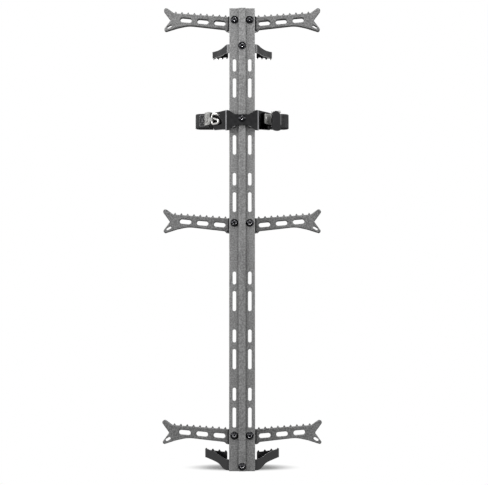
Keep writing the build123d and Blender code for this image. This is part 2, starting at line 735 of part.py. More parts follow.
def make_cam_spring():
    """The wire coil round the pin, between the cam and the lower ear."""
    height = SPRING_PITCH * SPRING_TURNS
    coil = Helix(SPRING_PITCH, height, SPRING_R)
    start = Plane(coil @ 0, z_dir=coil % 0)
    spring = sweep(start * RegularPolygon(SPRING_WIRE_R, 6), path=coil)
    low = -CAM_WIDTH / 2 - SPRING_WIRE_R - RUNNING_CLEAR - height
    return Pos(CAM_PIN_AT, -CAM_PIN_STAND, low) * spring


def make_rivet(along, low, high):
    """A rivet across an arm, with a round head at each end."""
    shank = rod_y(RIVET_R, -high, -low, along)
    outer = rod_y(RIVET_HEAD_R, -high - RIVET_HEAD, -high, along)
    outer = fillet(outer.edges().group_by(Axis.Y)[0], RIVET_DOME)
    inner = rod_y(RIVET_HEAD_R, -low, -low + RIVET_HEAD, along)
    inner = fillet(inner.edges().group_by(Axis.Y)[-1], RIVET_DOME)
    return shank + outer + inner


# ---------------------------------------------------------------- hook and end clamp


def make_hook():
    """The bent rod whose end hooks into the arm's hole, in arm coordinates."""
    stand = -STRAP_STAND
    near = HOOK_RING_AT - HOOK_RING_R
    far = HOOK_RING_AT + HOOK_RING_R
    path = FilletPolyline(
        HOOK_END,
        (HOOK_END[0], stand, HOOK_RING_R),
        (far, stand, HOOK_RING_R),
        (far, stand, -HOOK_RING_R),
        (near, stand, -HOOK_RING_R),
        (near, stand, HOOK_TONGUE_START),
        (HOOK_TIP[0], stand, HOOK_TIP[1]),
        radius=[HOOK_BEND_R] * 3 + [HOOK_TONGUE_R] * 2,
    )
    start = Plane(path @ 0, z_dir=path % 0)
    rod = sweep(start * Circle(HOOK_R), path=path)
    return rod + Pos(path @ 0) * Sphere(HOOK_R) + Pos(path @ 1) * Sphere(HOOK_R)


def make_end_clamp():
    """The folded plate that grips the strap's end and wraps the hook's ring."""
    bar = HOOK_RING_AT + HOOK_RING_R
    eye_r = HOOK_R + CLAMP_FIT
    outer_r = CLAMP_HALF
    length = CLAMP_END - bar
    leaf = Pos(bar + length / 2, 0) * Rectangle(length, 2 * outer_r) + Pos(bar) * Circle(outer_r)
    leaf -= Pos(bar + length / 2, 0) * Rectangle(length, 2 * eye_r) + Pos(bar) * Circle(eye_r)
    clamp = extrude(leaf, CLAMP_HEIGHT, both=True)
    wide = CLAMP_END - CLAMP_START
    outline = RectangleRounded(wide, CLAMP_HEIGHT, CLAMP_CORNER)
    outline = Pos(CLAMP_START + wide / 2, CLAMP_LIFT) * outline
    eye = CLAMP_START - bar + outer_r
    outline += Pos(CLAMP_START + 1 - eye / 2, 0) * Rectangle(eye + 2, CLAMP_EYE_HEIGHT)
    clamp &= along_y(outline, -TALL / 2, TALL / 2)
    clamp -= rod_y(RIVET_R, -TALL / 2, TALL / 2, CLAMP_RIVET_AT)
    return Pos(0, -STRAP_STAND, 0) * clamp


# ---------------------------------------------------------------- strap


def strap_end():
    """The doubled end of the webbing inside the clamp, in arm coordinates."""
    length = CLAMP_END - STRAP_END_AT
    thick = 2 * (HOOK_R + CLAMP_FIT - RUNNING_CLEAR)
    block = Box(length, thick, WEBBING_WIDTH)
    return Pos(STRAP_END_AT + length / 2, -STRAP_STAND, 0) * block


def make_strap():
    """The webbing: round the back from the clamp to the buckle, then folded behind the beam."""
    start = arm_point(STRAP_END_AT, STRAP_STAND)
    begin = (-start[0], start[1])
    ahead = 180 - BEND_ANGLE
    lead = CLAMP_END - STRAP_END_AT
    back_turn = ahead + STRAP_EASE
    round_left = [(lead, STRAP_EASE_R, STRAP_EASE), (STRAP_LEAD, STRAP_TURN_R, -back_turn)]
    behind = ribbon_path(begin, ahead, round_left) @ 1
    through = STRAP_END_AT - BUCKLE_SLOT_AT - SLOT_TURN_R
    moves = round_left + [
        (-2 * behind.X, STRAP_TURN_R, -back_turn),
        (STRAP_LEAD, STRAP_EASE_R, STRAP_EASE),
        (lead + through, SLOT_TURN_R, -90),
        (STRAP_EASE_R, STRAP_EASE_R, 90 - BEND_ANGLE),
    ]
    first = ribbon_path(begin, ahead, moves) @ 1
    turn = -180
    for _ in range(int((behind.Y - first.Y - WEBBING) / FOLD_PITCH)):
        moves.append((2 * first.X, FOLD_PITCH / 2, turn))
        turn = -turn
    moves.append((2 * first.X, 0, 0))
    strap = ribbon(ribbon_path(begin, ahead, moves), WEBBING, WEBBING_WIDTH)
    rivet = rod_y(RIVET_R, -TALL / 2, 0, CLAMP_RIVET_AT)
    strap = strap + Pos(0, 0, -STRAP_Z) * mirror(on_arm(strap_end()), about=Plane.YZ)
    strap = Pos(0, 0, STRAP_Z) * strap
    return strap - mirror(on_arm(rivet), about=Plane.YZ)


def make_all():
    """Every node by name."""
    nodes = {"beam": make_beam()}
    nodes.update(make_step_fasteners())
    nodes.update(make_centre_fasteners())
    step = make_step()
    for name, height in STATIONS.items():
        nodes[f"step_channel_{name}"] = make_channel(height)
        right = Pos(PIVOT_X, STEP_Y, height) * step
        nodes[f"step_{name}_right"] = right
        nodes[f"step_{name}_left"] = mirror(right, about=Plane.YZ)
    low = Pos(0, 0, BOTTOM_STANDOFF.bolt_z - STANDOFF_EDGE)
    high = Pos(0, 0, TOP_STANDOFF.bolt_z + STANDOFF_EDGE)
    nodes["standoff_bottom"] = low * make_standoff(BOTTOM_STANDOFF)
    nodes["standoff_top"] = high * mirror(make_standoff(TOP_STANDOFF), about=Plane.XY)
    nodes["strap_bracket"] = make_strap_bracket()
    nodes["buckle_frame"] = on_arm(make_buckle_frame())
    nodes["cam_lever"] = on_arm(make_cam_lever())
    nodes["cam_pin"] = on_arm(make_cam_pin())
    nodes["cam_spring"] = on_arm(make_cam_spring())
    nodes["buckle_rivet"] = on_arm(make_rivet(RIVET_AT, -ARM_FACE, ARM_FACE + BUCKLE_PLATE))
    clamp_faces = (STRAP_STAND - CLAMP_HALF, STRAP_STAND + CLAMP_HALF)
    for name, part in (
        ("strap_hook", make_hook()),
        ("strap_end_clamp", make_end_clamp()),
        ("clamp_rivet", make_rivet(CLAMP_RIVET_AT, *clamp_faces)),
    ):
        nodes[name] = mirror(on_arm(part), about=Plane.YZ)
    nodes["strap_webbing"] = make_strap()
    return nodes


os.makedirs("parts", exist_ok=True)
for node, shape in make_all().items():
    export_step(shape, f"parts/{node}.step")
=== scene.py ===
"""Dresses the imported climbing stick: its finishes, and its webbing, threads and seams.

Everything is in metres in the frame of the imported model: X to the climber's right, Y towards the
tree, Z up, with the origin on the beam's foot.
"""

import json
import logging
import math
from dataclasses import dataclass, field
from enum import Enum
from typing import Any, Iterable, Sequence

import bmesh
import bpy
from bmesh.types import BMVert, BMesh
from bpy.types import Material, Node, NodeSocket, NodeTree, Object
from mathutils import Matrix, Vector, noise

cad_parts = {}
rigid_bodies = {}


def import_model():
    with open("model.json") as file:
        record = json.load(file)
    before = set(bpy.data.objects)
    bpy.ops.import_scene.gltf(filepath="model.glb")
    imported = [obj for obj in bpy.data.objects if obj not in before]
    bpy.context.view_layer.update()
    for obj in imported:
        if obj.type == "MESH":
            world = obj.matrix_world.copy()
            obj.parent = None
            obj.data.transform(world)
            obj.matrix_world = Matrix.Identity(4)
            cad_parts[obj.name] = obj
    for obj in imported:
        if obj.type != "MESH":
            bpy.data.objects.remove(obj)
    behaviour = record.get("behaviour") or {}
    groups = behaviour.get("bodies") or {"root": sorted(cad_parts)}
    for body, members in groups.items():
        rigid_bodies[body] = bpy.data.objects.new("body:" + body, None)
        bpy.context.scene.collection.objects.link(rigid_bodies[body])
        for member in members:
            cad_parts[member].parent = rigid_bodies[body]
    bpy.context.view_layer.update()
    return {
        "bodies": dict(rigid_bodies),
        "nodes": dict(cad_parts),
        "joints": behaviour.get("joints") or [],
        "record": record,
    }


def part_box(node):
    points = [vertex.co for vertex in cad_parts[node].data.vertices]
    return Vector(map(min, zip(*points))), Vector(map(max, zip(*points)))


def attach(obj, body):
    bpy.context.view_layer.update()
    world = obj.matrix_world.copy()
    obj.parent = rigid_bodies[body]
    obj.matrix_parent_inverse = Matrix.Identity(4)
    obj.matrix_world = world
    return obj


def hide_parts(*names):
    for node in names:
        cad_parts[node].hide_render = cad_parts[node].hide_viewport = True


LOG = logging.getLogger("climbing_stick")
MM = 0.001
ROOT_BODY = "stick"
Pair = tuple[float, float]
Triple = tuple[float, float, float]
Colour = tuple[float, float, float, float]


class Slot(Enum):
    """The record's material slots."""

    BEAM = "anodised_beam"
    STEP = "anodised_step"
    POWDER = "black_powder_coat"
    GLOSS = "black_gloss_coat"
    SCREW = "black_oxide"
    ZINC = "zinc_steel"
    NICKEL = "nickel_plate"
    NYLON = "white_nylon"
    SPRING = "spring_steel"
    WEBBING = "black_webbing"


# ---------- shading helpers

BUMP = "ShaderNodeBump"
MAP_RANGE = "ShaderNodeMapRange"
MATH = "ShaderNodeMath"
MIX = "ShaderNodeMix"
COLOURS = {"data_type": "RGBA"}
# Inputs by number: Map Range's ends, and Mix's factor and its two colours.
FROM_LOW, FROM_HIGH, TO_LOW, TO_HIGH = 1, 2, 3, 4
FACTOR, UNDER, OVER = 0, 6, 7
# Soft grain lies almost wholly between these values.
GRAIN_LOW, GRAIN_HIGH = 0.3, 0.7
# A rounded normal that agrees this far with the plain one is flat, or right on an edge.
FLAT_AGREES, EDGE_AGREES = 0.995, 0.86
EDGE_SAMPLES = 6
POLYMER_IOR = 1.53


def linear(code: str) -> Colour:
    """Turns an sRGB hex colour into linear values.

    Args:
        code: Six hex digits, such as "8a8c90".

    Returns:
        Red, green, blue and alpha, as Blender's sockets take them.
    """
    channels = [int(code[i : i + 2], 16) / 255 for i in (0, 2, 4)]
    bent = [c / 12.92 if c <= 0.04045 else ((c + 0.055) / 1.055) ** 2.4 for c in channels]
    return bent[0], bent[1], bent[2], 1.0


def set_inputs(tree: NodeTree, node: Node, inputs: dict[str | int, Any]) -> None:
    """Gives a node's inputs their values and links.

    Args:
        tree: The node's tree.
        node: The node.
        inputs: What each input takes, by its name or number: a value, an output socket, or a
            node, which stands for the first of its outputs that is in use.
    """
    for key, value in inputs.items():
        if isinstance(value, Node):
            value = next(output for output in value.outputs if output.enabled)
        if isinstance(value, NodeSocket):
            tree.links.new(value, node.inputs[key])
        else:
            node.inputs[key].default_value = value


def add_node(
    tree: NodeTree,
    kind: str,
    settings: dict[str, Any] | None = None,
    inputs: dict[str | int, Any] | None = None,
) -> Node:
    """Adds a node with its settings and links.

    Args:
        tree: The node tree that gets the node.
        kind: Blender's name for the node's type.
        settings: Attributes of the node, by name.
        inputs: What its inputs take, as set_inputs reads it.

    Returns:
        The new node.
    """
    made = tree.nodes.new(kind)
    for name, value in (settings or {}).items():
        setattr(made, name, value)
    set_inputs(tree, made, inputs or {})
    return made


def blank_material(name: str) -> tuple[Material, NodeTree, Node]:
    """Makes a material that holds only its shader and output.

    Args:
        name: The material's name.

    Returns:
        The material, its node tree and its Principled shader.
    """
    material = bpy.data.materials.new(name)
    material.use_nodes = True
    tree = material.node_tree
    shader = next(n for n in tree.nodes if n.type == "BSDF_PRINCIPLED")
    return material, tree, shader


def soft_grain(tree: NodeTree, size_mm: Sequence[float], detail: float) -> Node:
    """Adds a soft grain that has a real size along each axis of the piece.

    Args:
        tree: The node tree.
        size_mm: The grain's size along X, Y and Z in millimetres.
        detail: How many finer layers the grain has.

    Returns:
        The grain, about 0.5 on average.
    """
    place = add_node(tree, "ShaderNodeTexCoord").outputs["Object"]
    scale = [1 / (size * MM) for size in size_mm]
    mapped = add_node(tree, "ShaderNodeMapping", None, {"Vector": place, "Scale": scale})
    inputs = {"Vector": mapped, "Scale": 1.0, "Detail": detail}
    return add_node(tree, "ShaderNodeTexNoise", None, inputs)


def wash_over(
    tree: NodeTree, under: Colour | Node, over: Colour,
    pattern: Node, low: float, high: float, share: float = 1.0,
) -> Node:
    """Lays one colour over another where a pattern is strong.

    Args:
        tree: The node tree.
        under: The colour underneath, or the node that gives it.
        over: The colour on top.
        pattern: The pattern.
        low: The pattern's value up to which the lower colour is bare.
        high: The pattern's value from which the upper colour is at its strongest.
        share: How strong that is.

    Returns:
        The mixed colour.
    """
    ends = {"Value": pattern, FROM_LOW: low, FROM_HIGH: high, TO_HIGH: share}
    cover = add_node(tree, MAP_RANGE, None, ends)
    return add_node(tree, MIX, COLOURS, {FACTOR: cover, UNDER: under, OVER: over})


def edge_rub(tree: NodeTree, radius_mm: float) -> tuple[Node, Node]:
    """Finds the piece's edges by rounding them.

    Args:
        tree: The node tree.
        radius_mm: How far from an edge the rounding reaches, in millimetres.

    Returns:
        The rounded normal, and a mask that is 1 on the edge and 0 away from it.
    """
    reach = {"Radius": radius_mm * MM}
    rounded = add_node(tree, "ShaderNodeBevel", {"samples": EDGE_SAMPLES}, reach)
    plain = add_node(tree, "ShaderNodeNewGeometry").outputs["Normal"]
    agree = add_node(
        tree, "ShaderNodeVectorMath", {"operation": "DOT_PRODUCT"}, {0: rounded, 1: plain}
    )
    ends = {"Value": agree, FROM_LOW: FLAT_AGREES, FROM_HIGH: EDGE_AGREES}
    return rounded, add_node(tree, MAP_RANGE, None, ends)


# ---------- finishes

# Most finishes are not evenly rough: in soft patches each gets smoother or rougher by as much as it
# says. Moulded nylon is evenly rough.


@dataclass(frozen=True)
class BlastedAnodise:
    """Grey anodised aluminium, bead-blasted before it was anodised.

    Blasting leaves a fine dead-matt grain, anodising an even grey film. Extruding leaves long faint
    lines along the part. Corners rub through to a lighter metal first.
    """

    name: str
    film: str
    film_dark: str
    wear_and_glint: str
    line_mm: Triple
    line_depth_mm: float
    # How far its corners are rubbed through: rub in patches, and this share of it between them.
    rub: float
    least_rub: float = 0.35
    roughness: float = 0.5
    smoother: float = 0.05
    rougher: float = 0.07
    edge_mm: float = 0.7
    # Real bead-blast grain is about 0.1 mm; it is drawn at 2.4 mm so that it shows.
    grain_mm: float = 2.4
    grain_depth_mm: float = 0.03
    cloud_mm: Triple = (26.0, 26.0, 48.0)

    def build(self) -> Material:
        """Builds the material.

        Returns:
            The material.
        """
        material, tree, shader = blank_material(self.name)
        light, dark, bare = linear(self.film), linear(self.film_dark), linear(self.wear_and_glint)
        rounded, edge = edge_rub(tree, self.edge_mm)
        grain = soft_grain(tree, (self.grain_mm,) * 3, 3.0)
        lines = soft_grain(tree, self.line_mm, 4.0)
        clouds = soft_grain(tree, self.cloud_mm, 3.0)
        base = wash_over(tree, dark, light, clouds, low=GRAIN_LOW, high=GRAIN_HIGH)
        base = wash_over(tree, base, dark, lines, low=0.35, high=0.65, share=0.34)
        base = wash_over(tree, base, bare, grain, low=0.4, high=0.62, share=0.55)
        patches = {
            "Value": clouds, FROM_LOW: 0.4, FROM_HIGH: 0.62,
            TO_LOW: self.least_rub * self.rub, TO_HIGH: self.rub,
        }
        patchy = add_node(tree, MAP_RANGE, None, patches)
        worn = add_node(tree, MATH, {"operation": "MULTIPLY"}, {0: edge, 1: patchy})
        base = add_node(tree, MIX, COLOURS, {FACTOR: worn, UNDER: base, OVER: bare})
        sheen = {
            "Value": grain, FROM_LOW: GRAIN_LOW, FROM_HIGH: GRAIN_HIGH,
            TO_LOW: self.roughness - self.smoother, TO_HIGH: self.roughness + self.rougher,
        }
        relief = {"Height": grain, "Distance": self.grain_depth_mm * MM, "Normal": rounded}
        blasted = add_node(tree, BUMP, None, relief)
        relief = {"Height": lines, "Distance": self.line_depth_mm * MM, "Normal": blasted}
        # The dyed film scatters much of the light before it reaches the metal, and darkens what
        # crosses it at a low angle, where the way through the dye is long. Blasting leaves it
        # without a clear gloss of its own.
        set_inputs(tree, shader, {
            "Base Color": base,
            "Roughness": add_node(tree, MAP_RANGE, None, sheen),
            "Normal": add_node(tree, BUMP, None, relief),
            "Metallic": 0.4,
            "Specular IOR Level": 0.0,
            "Specular Tint": (0.1, 0.1, 0.1, 1.0),
        })
        return material


@dataclass(frozen=True)
class PowderCoat:
    """Black powder coat, baked on steel: a thick skin with a fine orange-peel ripple.

    The ripple breaks up highlights. The skin pulls thin on sharp edges, where grey shows.
    """

    name: str
    colour: str
    thin: str
    roughness: float = 0.26
    smoother: float = 0.06
    rougher: float = 0.08
    edge_mm: float = 0.6
    peel_mm: float = 1.3
    peel_depth_mm: float = 0.035
    dust_mm: float = 18.0

    def build(self) -> Material:
        """Builds the material.

        Returns:
            The material.
        """
        material, tree, shader = blank_material(self.name)
        rounded, edge = edge_rub(tree, self.edge_mm)
        peel = soft_grain(tree, (self.peel_mm,) * 3, 1.0)
        dust = soft_grain(tree, (self.dust_mm,) * 3, 4.0)
        patches = {"Value": dust, FROM_LOW: 0.42, FROM_HIGH: 0.6, TO_LOW: 0.1, TO_HIGH: 0.6}
        patchy = add_node(tree, MAP_RANGE, None, patches)
        thinned = add_node(tree, MATH, {"operation": "MULTIPLY"}, {0: edge, 1: patchy})
        skin = {FACTOR: thinned, UNDER: linear(self.colour), OVER: linear(self.thin)}
        sheen = {
            "Value": dust, FROM_LOW: GRAIN_LOW, FROM_HIGH: GRAIN_HIGH,
            TO_LOW: self.roughness - self.smoother, TO_HIGH: self.roughness + self.rougher,
        }
        relief = {"Height": peel, "Distance": self.peel_depth_mm * MM, "Normal": rounded}
        set_inputs(tree, shader, {
            "Base Color": add_node(tree, MIX, COLOURS, skin),
            "Roughness": add_node(tree, MAP_RANGE, None, sheen),
            "Normal": add_node(tree, BUMP, None, relief),
            "IOR": 1.5,
            "Specular IOR Level": 0.4,
        })
        return material


@dataclass(frozen=True)
class PlatedSteel:
    """Steel with a thin plated or oxide film, turned or pressed, with faint tool marks.

    The film clouds a little in patches. Where it is given an edge colour, its sharp edges are
    painted bright: a painted glint, with a little real wear from the hex key.
    """

    name: str
    colour: str
    shade: str
    roughness: float
    mark_mm: float
    mark_depth_mm: float
    smoother: float = 0.05
    rougher: float = 0.1
    # A pale colour that the sharp edges take: a painted glint, partly real wear.
    wear_and_glint: str | None = None
    edge_mm: float = 0.25
    edge_sharpness: float = 3.0
    patch_mm: float = 6.0

    def build(self) -> Material:
        """Builds the material.

        Returns:
            The material.
        """
        material, tree, shader = blank_material(self.name)
        rounded, edge = edge_rub(tree, self.edge_mm)
        marks = soft_grain(tree, (self.mark_mm,) * 3, 3.0)
        patches = soft_grain(tree, (self.patch_mm,) * 3, 3.0)
        clean, dull = linear(self.colour), linear(self.shade)
        base = wash_over(tree, clean, dull, patches, low=0.35, high=0.65)
        if self.wear_and_glint:
            # Painted glint: the sharp edges, the socket's among them, get a near-white colour; the
            # hex key also wears a little of the film off the socket.
            power = {0: edge, 1: self.edge_sharpness}
            sharp = add_node(tree, MATH, {"operation": "POWER"}, power)
            glint_mix = {FACTOR: sharp, UNDER: base, OVER: linear(self.wear_and_glint)}
            base = add_node(tree, MIX, COLOURS, glint_mix)
        sheen = {
            "Value": patches, FROM_LOW: GRAIN_LOW, FROM_HIGH: GRAIN_HIGH,
            TO_LOW: self.roughness - self.smoother, TO_HIGH: self.roughness + self.rougher,
        }
        relief = {"Height": marks, "Distance": self.mark_depth_mm * MM, "Normal": rounded}
        set_inputs(tree, shader, {
            "Base Color": base,
            "Roughness": add_node(tree, MAP_RANGE, None, sheen),
            "Normal": add_node(tree, BUMP, None, relief),
            "Metallic": 1.0,
        })
        return material


@dataclass(frozen=True)
class MouldedNylon:
    """Natural nylon, moulded: milky, half matt, and a little see-through at thin edges."""

    name: str
    colour: str
    shade: str
    roughness: float = 0.42
    edge_mm: float = 0.2
    flow_mm: float = 3.0
    flow_depth_mm: float = 0.01

    def build(self) -> Material:
        """Builds the material.

        Returns:
            The material.
        """
        material, tree, shader = blank_material(self.name)
        rounded, _ = edge_rub(tree, self.edge_mm)
        flow = soft_grain(tree, (self.flow_mm,) * 3, 2.0)
        milky, dull = linear(self.colour), linear(self.shade)
        base = wash_over(tree, milky, dull, flow, low=GRAIN_LOW, high=GRAIN_HIGH, share=0.25)
        relief = {"Height": flow, "Distance": self.flow_depth_mm * MM, "Normal": rounded}
        set_inputs(tree, shader, {
            "Base Color": base,
            "Roughness": self.roughness,
            "Normal": add_node(tree, BUMP, None, relief),
            "IOR": POLYMER_IOR,
            "Subsurface Weight": 0.15,
            "Subsurface Radius": (0.001, 0.001, 0.0008),
        })
        return material


@dataclass(frozen=True)
class WovenPolyester:
    """Black polyester webbing: close ribs across the strap, with fine warp yarns along it.

    A painted sheen lightens the yarns' crowns in soft patches, and painted shade darkens the gaps
    between ribs.
    """

    name: str
    yarn: str
    # Colours of the painted sheen on the crowns and of the painted shade in the gaps.
    lit_crown: str
    gap_shade: str
    # Real ribs are about 1.1 mm apart and yarns 0.6 mm; both are drawn coarser so that they show.
    rib_mm: float = 2.1
    yarn_mm: float = 1.5
    roughness: float = 0.65
    smoother: float = 0.1
    rougher: float = 0.15
    weave_depth_mm: float = 0.22
    weave_strength: float = 0.9
    fuzz_mm: float = 0.9
    fuzz_depth_mm: float = 0.05
    # The size of the soft patches in which the painted sheen is strong.
    sheen_patch_mm: float = 14.0

    def build(self) -> Material:
        """Builds the material. The strap's UV map is in metres along and across it.

        Returns:
            The material.
        """
        material, tree, shader = blank_material(self.name)
        place = add_node(tree, "ShaderNodeTexCoord").outputs["UV"]
        split = add_node(tree, "ShaderNodeSeparateXYZ", None, {0: place})
        ribs = self._crowns(tree, split.outputs["X"], self.rib_mm)
        yarns = self._crowns(tree, split.outputs["Y"], self.yarn_mm)
        weave = add_node(tree, MATH, {"operation": "MULTIPLY"}, {0: ribs, 1: yarns})
        fuzz = soft_grain(tree, (self.fuzz_mm,) * 3, 2.0)
        fade = soft_grain(tree, (self.sheen_patch_mm,) * 3, 3.0)
        # Painted shade: the gaps between ribs are darker than the yarn.
        gap_shade, yarn = linear(self.gap_shade), linear(self.yarn)
        base = wash_over(tree, gap_shade, yarn, weave, low=0.05, high=0.7)
        # Painted sheen: the crowns are lighter, more so in soft patches.
        tops = add_node(tree, MAP_RANGE, None, {"Value": weave, FROM_LOW: 0.6})
        patches = {"Value": fade, FROM_LOW: 0.35, FROM_HIGH: 0.65, TO_LOW: 0.2, TO_HIGH: 0.8}
        patchy = add_node(tree, MAP_RANGE, None, patches)
        lit = add_node(tree, MATH, {"operation": "MULTIPLY"}, {0: tops, 1: patchy})
        crowned = {FACTOR: lit, UNDER: base, OVER: linear(self.lit_crown)}
        sheen = {
            "Value": fuzz, FROM_LOW: GRAIN_LOW, FROM_HIGH: GRAIN_HIGH,
            TO_LOW: self.roughness - self.smoother, TO_HIGH: self.roughness + self.rougher,
        }
        plain = add_node(tree, "ShaderNodeNewGeometry").outputs["Normal"]
        woven = add_node(tree, BUMP, None, {
            "Height": weave, "Distance": self.weave_depth_mm * MM,
            "Strength": self.weave_strength, "Normal": plain,
        })
        relief = {"Height": fuzz, "Distance": self.fuzz_depth_mm * MM, "Normal": woven}
        set_inputs(tree, shader, {
            "Base Color": add_node(tree, MIX, COLOURS, crowned),
            "Roughness": add_node(tree, MAP_RANGE, None, sheen),
            "Normal": add_node(tree, BUMP, None, relief),
            "IOR": POLYMER_IOR,
            "Specular IOR Level": 0.25,
            "Sheen Weight": 0.05,
            "Sheen Roughness": 0.4,
        })
        return material

    def _crowns(self, tree: NodeTree, along: NodeSocket, pitch_mm: float) -> Node:
        """Makes rounded crowns a pitch apart.

        Args:
            tree: The node tree.
            along: The distance along the pattern, in metres.
            pitch_mm: The distance between crowns.

        Returns:
            1 at the top of each wave, and 0 midway between two tops.
        """
        pace = {0: along, 1: math.pi / (pitch_mm * MM)}
        angle = add_node(tree, MATH, {"operation": "MULTIPLY"}, pace)
        wave = add_node(tree, MATH, {"operation": "SINE"}, {0: angle})
        return add_node(tree, MATH, {"operation": "ABSOLUTE"}, {0: wave})


@dataclass(frozen=True)
class BondedThread:
    """Grey bonded polyester thread: smooth, twisted, with a slight shine on each stitch.

    Painted shade darkens the grooves between its plies, so they show as darker lines more than as
    relief.
    """

    name: str
    colour: str
    # The colour of the painted shade in the grooves.
    groove_shade: str
    roughness: float = 0.5
    smoother: float = 0.08
    rougher: float = 0.1
    edge_mm: float = 0.15
    # Real plies are about 0.25 mm apart; they are drawn at 0.8 mm so that they show.
    ply_mm: float = 0.8
    ply_depth_mm: float = 0.06

    def build(self) -> Material:
        """Builds the material.

        Returns:
            The material.
        """
        material, tree, shader = blank_material(self.name)
        rounded, _ = edge_rub(tree, self.edge_mm)
        plies = soft_grain(tree, (self.ply_mm,) * 3, 2.0)
        sheen = {
            "Value": plies, FROM_LOW: GRAIN_LOW, FROM_HIGH: GRAIN_HIGH,
            TO_LOW: self.roughness + self.rougher, TO_HIGH: self.roughness - self.smoother,
        }
        relief = {"Height": plies, "Distance": self.ply_depth_mm * MM, "Normal": rounded}
        # Painted shade: the colour darkens where the plies' relief is low.
        groove_shade, lit_crown = linear(self.groove_shade), linear(self.colour)
        set_inputs(tree, shader, {
            "Base Color": wash_over(tree, groove_shade, lit_crown, plies, low=0.35, high=0.65),
            "Roughness": add_node(tree, MAP_RANGE, None, sheen),
            "Normal": add_node(tree, BUMP, None, relief),
            "IOR": POLYMER_IOR,
        })
        return material


Finish = BlastedAnodise | PowderCoat | PlatedSteel | MouldedNylon | WovenPolyester
FINISHES: dict[Slot, Finish] = {
    # Pushed through a die: faint lines run the length of the beam, and its corners are pale.
    Slot.BEAM: BlastedAnodise(
        "grey_anodised_extrusion", film="707070", film_dark="626262", wear_and_glint="999999",
        line_mm=(1.5, 1.5, 160.0), line_depth_mm=0.03, rub=0.5,
    ),
    # Cut from plate: soft clouds in place of the lines, under a darker film.
    Slot.STEP: BlastedAnodise(
        "grey_anodised_plate", film="626262", film_dark="555555", wear_and_glint="8a8a8a",
        line_mm=(9.0, 9.0, 9.0), line_depth_mm=0.02, rub=0.4,
    ),
    # A thick skin that flowed before it set: deep black, with soft and broken highlights.
    Slot.POWDER: PowderCoat("satin_black_powder_coat", colour="101012", thin="343436"),
    # A thin dark film over bright zinc: black, but it still mirrors what is round it.
    Slot.GLOSS: PlatedSteel(
        "black_zinc_plated_steel", colour="343435", shade="2c2c2d",
        roughness=0.1, mark_mm=0.9, mark_depth_mm=0.002,
    ),
    # Oiled oxide on smooth heads: nearly black, with a painted glint on the sharp edges, partly
    # where the key wears the oxide.
    Slot.SCREW: PlatedSteel(
        "black_oxide_screw_steel", colour="1e1e20", shade="18181a",
        roughness=0.08, mark_mm=0.8, mark_depth_mm=0.002, wear_and_glint="d0d0d2", edge_mm=0.5,
    ),
    # Bright zinc after some time in the air: plain grey, with wide and soft highlights.
    Slot.ZINC: PlatedSteel(
        "bright_zinc_plate", colour="828280", shade="696968",
        roughness=0.6, mark_mm=1.2, mark_depth_mm=0.02,
    ),
    # Nickel keeps its polish: pale and a little warm, with narrower highlights.
    Slot.NICKEL: PlatedSteel(
        "bright_nickel_plate", colour="b4b3b1", shade="9e9d9b",
        roughness=0.3, mark_mm=0.9, mark_depth_mm=0.006,
    ),
    # Left without a dye: warm white beside the black screws.
    Slot.NYLON: MouldedNylon("natural_nylon", colour="e4dfd2", shade="c9c2b0"),
    # Drawn hard through a die and oiled: dark grey, with a thin bright line along each turn.
    Slot.SPRING: PlatedSteel(
        "drawn_spring_wire", colour="6a6a6c", shade="5a5a5c",
        roughness=0.3, mark_mm=0.5, mark_depth_mm=0.006,
    ),
    # Dyed black in the fibre, with painted shade in the gaps and a painted grey sheen on the
    # crowns.
    Slot.WEBBING: WovenPolyester(
        "black_polyester_webbing", yarn="0b0b0d", lit_crown="232325", gap_shade="050506"
    ),
}
# Bonded, so it doesn't fray: grey, and a little brighter than the webbing that it crosses.
THREAD = BondedThread("bonded_polyester_thread", colour="5e5e60", groove_shade="424244")
# The buckle's frame and rivet take a paler copy of the zinc: painted light, where the black lever
# beside them shades them and darkens what they mirror.
BUCKLE_PAINTED_LIGHT_ZINC = PlatedSteel(
    "painted_light_zinc_plate", colour="b8b8b6", shade="9a9a98",
    roughness=0.6, mark_mm=1.2, mark_depth_mm=0.02,
)
BUCKLE_NODES = ("buckle_frame", "buckle_rivet")


# ---------- mesh helpers

# How far a bar's edges are rounded, as a share of its least size.
BAR_ROUND = 0.3
RING_TURNS, RING_SIDES = 32, 8


def mesh_object(name: str, shape: BMesh, smooth: bool = True) -> Object:
    """Turns a bmesh into an object in the scene.

    Args:
        name: The piece's name.
        shape: The mesh, which is freed.
        smooth: Whether its faces are shaded smooth.

    Returns:
        The new object.
    """
    bmesh.ops.recalc_face_normals(shape, faces=shape.faces)
    data = bpy.data.meshes.new(name)
    shape.to_mesh(data)
    shape.free()
    for polygon in data.polygons:
        polygon.use_smooth = smooth
    made = bpy.data.objects.new(name, data)
    bpy.context.scene.collection.objects.link(made)
    return made


def add_bar(shape: BMesh, centre: Vector, along: Vector, out: Vector, size: Triple) -> None:
    """Adds a bar with rounded edges to a mesh.

    Args:
        shape: The mesh that gets the bar.
        centre: The bar's middle.
        along: The direction of its length.
        out: The direction of its height, square to its length.
        size: Its length, width and height.
    """
    bar = bmesh.new()
    bmesh.ops.create_cube(bar, size=1.0)
    bmesh.ops.scale(bar, vec=size, verts=bar.verts)
    bmesh.ops.bevel(
        bar, geom=bar.edges[:], offset=BAR_ROUND * min(size), segments=2, profile=0.5,
        affect="EDGES",
    )
    turn = Matrix((along, out.cross(along), out)).transposed().to_4x4()
    bmesh.ops.transform(bar, matrix=Matrix.Translation(centre) @ turn, verts=bar.verts)
    part = bpy.data.meshes.new("bar")
    bar.to_mesh(part)
    bar.free()
    shape.from_mesh(part)
    bpy.data.meshes.remove(part)


